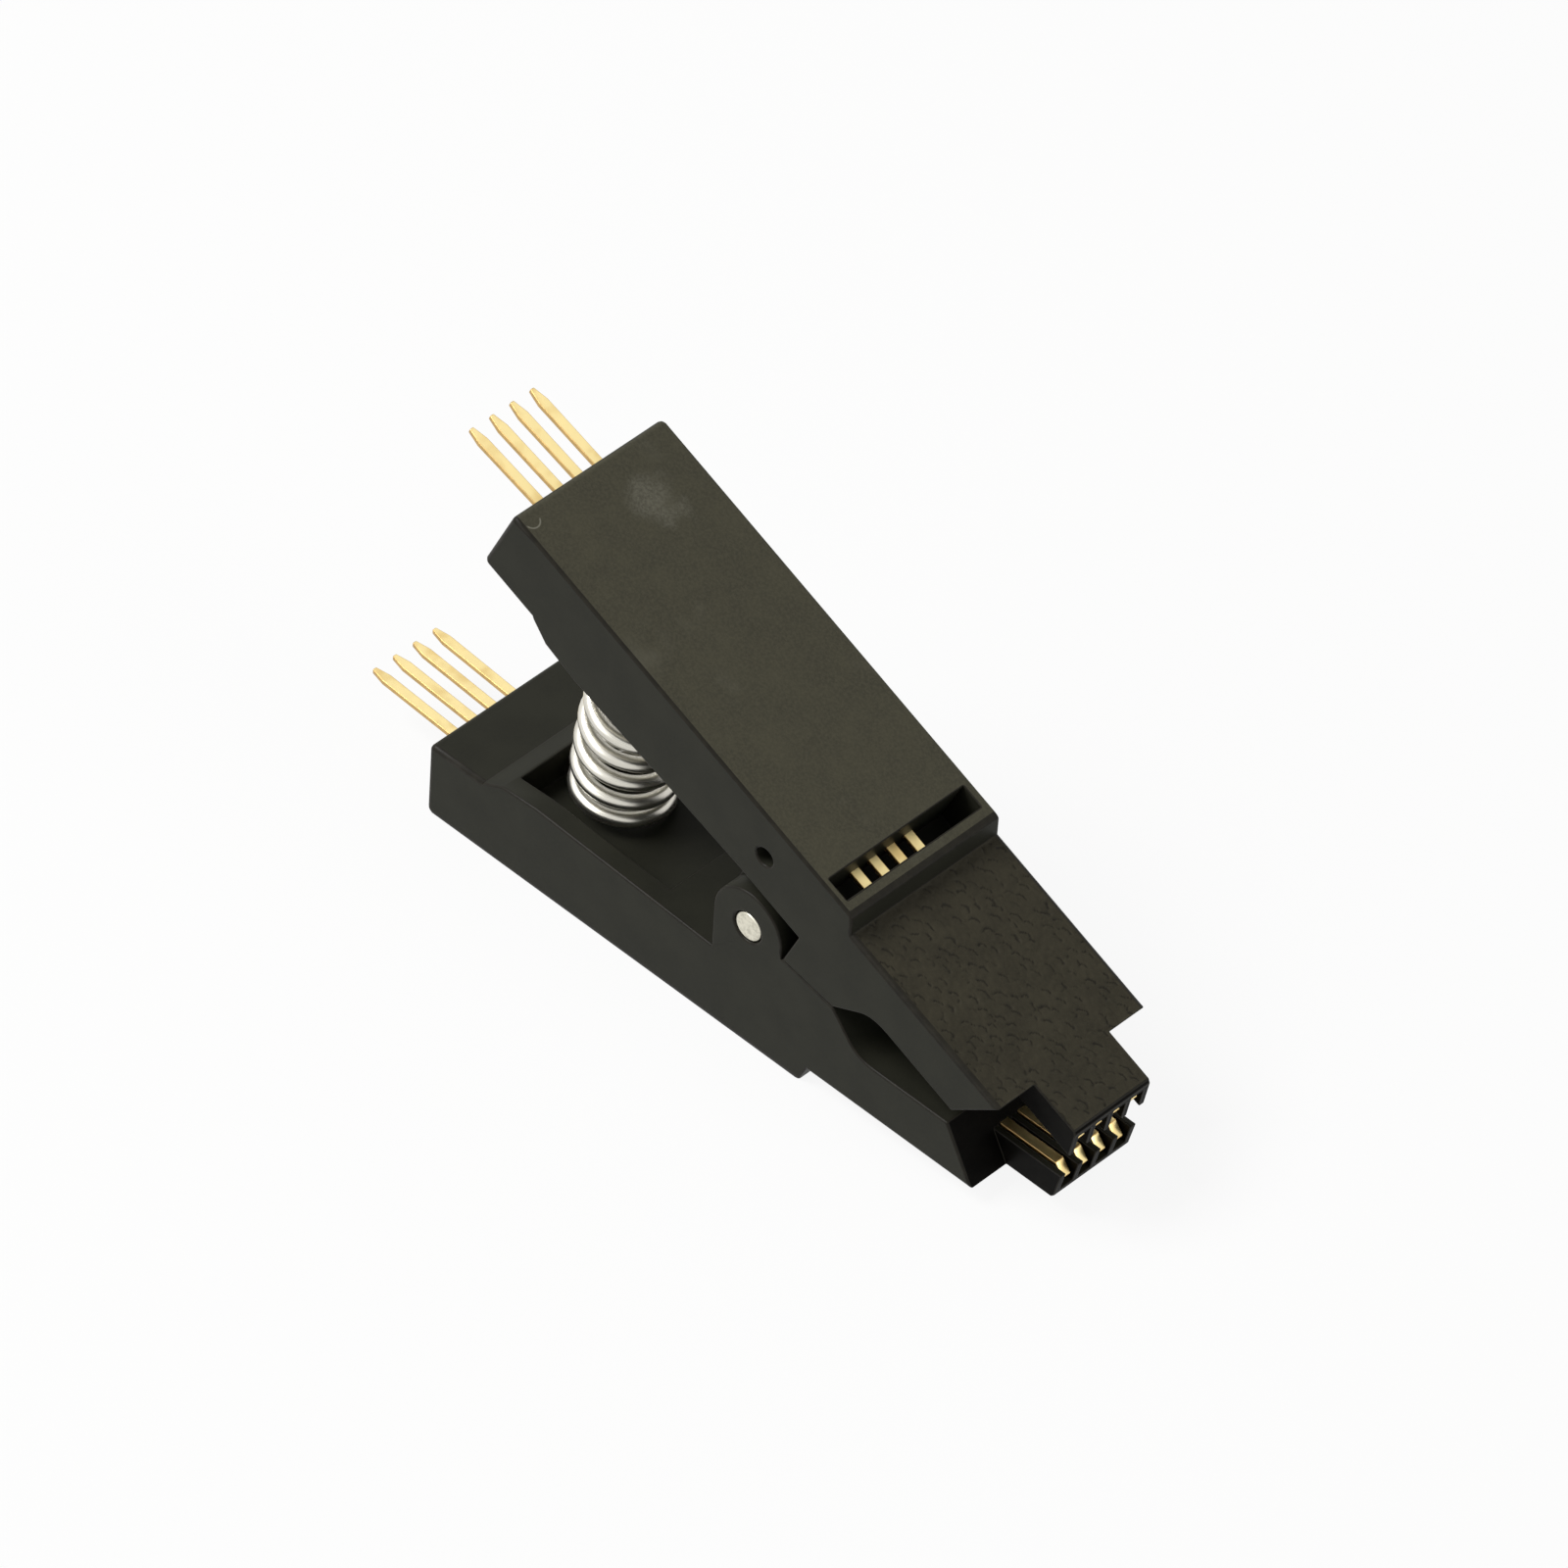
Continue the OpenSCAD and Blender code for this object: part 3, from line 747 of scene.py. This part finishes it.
class CLIP_OT_contacts(bpy.types.Operator):
    """Rounds the edges of the eight contact strips and plates them"""
    bl_idname = "clip.contacts"
    bl_label = "Make Contacts"

    def execute(self, context):
        colours, soft = context.scene.clip_colours, context.scene.clip_sizes.strip_round
        finishes = [gold_flash(colours), sheared_brass(colours)]
        for body in ("lower", "upper"):
            for number in range(1, CONTACTS + 1):
                node = f"{body}_contact_{number}"
                obj = place(f"{body}_strip_{number}", merged_copy(node), finishes)
                for polygon in obj.data.polygons:
                    polygon.material_index = SHEARED if abs(polygon.normal.y) > 0.7 else PLATED
                bevelled(obj, soft, 2, "ANGLE", SHEARED)
                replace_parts(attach(smooth(obj), body), node)
        return {"FINISHED"}


# ---------------------------------------------------------------- stage

# Where the camera looks from, in degrees, and at which point of the clip
AZIMUTH, ELEVATION, ROLL = 41.56, 44.27, 3.774
VIEW_POINT = Vector((-5.353, 2.766, 8.659)) * MM
VIEW_DISTANCE = 740.25 * MM
LENS, SENSOR = 337.5, 36.0
# Lamps: name, diameter, watts, place in metres; each looks at the origin
LAMPS = (("key", 0.30, 3.4, (-0.30, -0.24, 0.48)),
         ("fill", 0.40, 0.8, (-0.15, -0.58, 0.26)),
         ("front", 0.30, 0.75, (0.50, 0.10, 0.34)))
SOFT_LIGHT = 0.2
FLOOR_HALF = 1.5
# The share of plain white in what the camera and reflections see of the floor; the rest keeps its shadows
PLAIN_WHITE = 0.9
WHITE = (1.0, 1.0, 1.0, 1.0)


class CLIP_OT_stage(bpy.types.Operator):
    """Sets up the floor, the soft lights, the white surroundings and the camera"""
    bl_idname = "clip.stage"
    bl_label = "Make Stage"

    def execute(self, context):
        scene = context.scene
        scene.view_settings.view_transform = "Standard"
        self.floor(scene.clip_colours)
        self.world(scene)
        for name, size, power, at in LAMPS:
            lamp = bpy.data.lights.new(name, "AREA")
            lamp.shape, lamp.size, lamp.energy = "DISK", size, power
            obj = bpy.data.objects.new(name, lamp)
            obj.location = at
            obj.rotation_euler = (-Vector(at)).to_track_quat("-Z", "Y").to_euler()
            scene.collection.objects.link(obj)
        self.camera(scene)
        return {"FINISHED"}

    def seen(self, tree):
        """1 for rays from the camera, reflections and refractions, which see plain white surroundings."""
        path = add(tree, "ShaderNodeLightPath").outputs
        both = maths(tree, "MAXIMUM", path["Is Camera Ray"], path["Is Glossy Ray"])
        return maths(tree, "MAXIMUM", both, path["Is Transmission Ray"])

    def floor(self, colours):
        """A wide plain floor that looks white around the clip and takes its shadow."""
        bm = bmesh.new()
        bmesh.ops.create_grid(bm, x_segments=1, y_segments=1, size=FLOOR_HALF)
        material, tree, bsdf = shader("Studio Floor", roughness=0.9, base_color=colours.floor[:])
        glow = add(tree, "ShaderNodeEmission", {"Color": WHITE, "Strength": 1.0})
        share = maths(tree, "MULTIPLY", self.seen(tree), PLAIN_WHITE)
        both = add(tree, "ShaderNodeMixShader", {0: share, 1: bsdf, 2: glow})
        tree.links.new(both.outputs[0], tree.nodes["Material Output"].inputs["Surface"])
        place("floor", bm, [material])

    def world(self, scene):
        """Soft light from all round, behind a plain white backdrop."""
        world = bpy.data.worlds.new("Studio")
        scene.world = world
        world.use_nodes = True
        tree = world.node_tree
        background = tree.nodes["Background"]
        soft = add(tree, "ShaderNodeBackground", {"Color": WHITE, "Strength": SOFT_LIGHT})
        background.inputs["Color"].default_value = WHITE
        background.inputs["Strength"].default_value = 1.0
        both = add(tree, "ShaderNodeMixShader", {0: self.seen(tree), 1: soft, 2: background})
        tree.links.new(both.outputs[0], tree.nodes["World Output"].inputs["Surface"])

    def camera(self, scene):
        """A long lens, rolled a little, that looks down on the near front corner."""
        a, e, r = (math.radians(v) for v in (AZIMUTH, ELEVATION, ROLL))
        back = Vector((math.sin(a) * math.cos(e), -math.cos(a) * math.cos(e), math.sin(e)))
        level = Vector((math.cos(a), math.sin(a), 0))
        right = level * math.cos(r) + back.cross(level) * math.sin(r)
        up = back.cross(right)
        data = bpy.data.cameras.new("camera")
        data.sensor_width, data.lens = SENSOR, LENS
        data.clip_start, data.clip_end = 0.01, 10.0
        obj = bpy.data.objects.new("camera", data)
        obj.matrix_world = Matrix.Translation(VIEW_POINT + back * VIEW_DISTANCE) @ Matrix(
            (right, up, back)).transposed().to_4x4()
        scene.collection.objects.link(obj)
        scene.camera = obj


# ---------------------------------------------------------------- panel

class CLIP_PT_panel(bpy.types.Panel):
    """Lists the pieces of the clip, their sizes and colours"""
    bl_label = "Test Clip"
    bl_idname = "CLIP_PT_panel"
    bl_space_type = "VIEW_3D"
    bl_region_type = "UI"
    bl_category = "Test Clip"

    def draw(self, context):
        for operator in OPERATORS:
            self.layout.operator(operator.bl_idname)
        for group in (context.scene.clip_sizes, context.scene.clip_colours):
            column = self.layout.column()
            for name in group.bl_rna.properties.keys():
                if name not in ("rna_type", "name"):
                    column.prop(group, name)


OPERATORS = (CLIP_OT_stage, CLIP_OT_jaws, CLIP_OT_spring, CLIP_OT_pin, CLIP_OT_contacts)
CLASSES = (ClipSizes, ClipColours) + OPERATORS + (CLIP_PT_panel,)


def register():
    for cls in CLASSES:
        bpy.utils.register_class(cls)
    bpy.types.Scene.clip_sizes = bpy.props.PointerProperty(type=ClipSizes)
    bpy.types.Scene.clip_colours = bpy.props.PointerProperty(type=ClipColours)


def unregister():
    del bpy.types.Scene.clip_colours
    del bpy.types.Scene.clip_sizes
    for cls in reversed(CLASSES):
        bpy.utils.unregister_class(cls)


def main():
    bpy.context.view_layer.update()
    register()
    for operator in OPERATORS:
        group, name = operator.bl_idname.split(".")
        getattr(getattr(bpy.ops, group), name)()


if __name__ == "__main__":
    main()
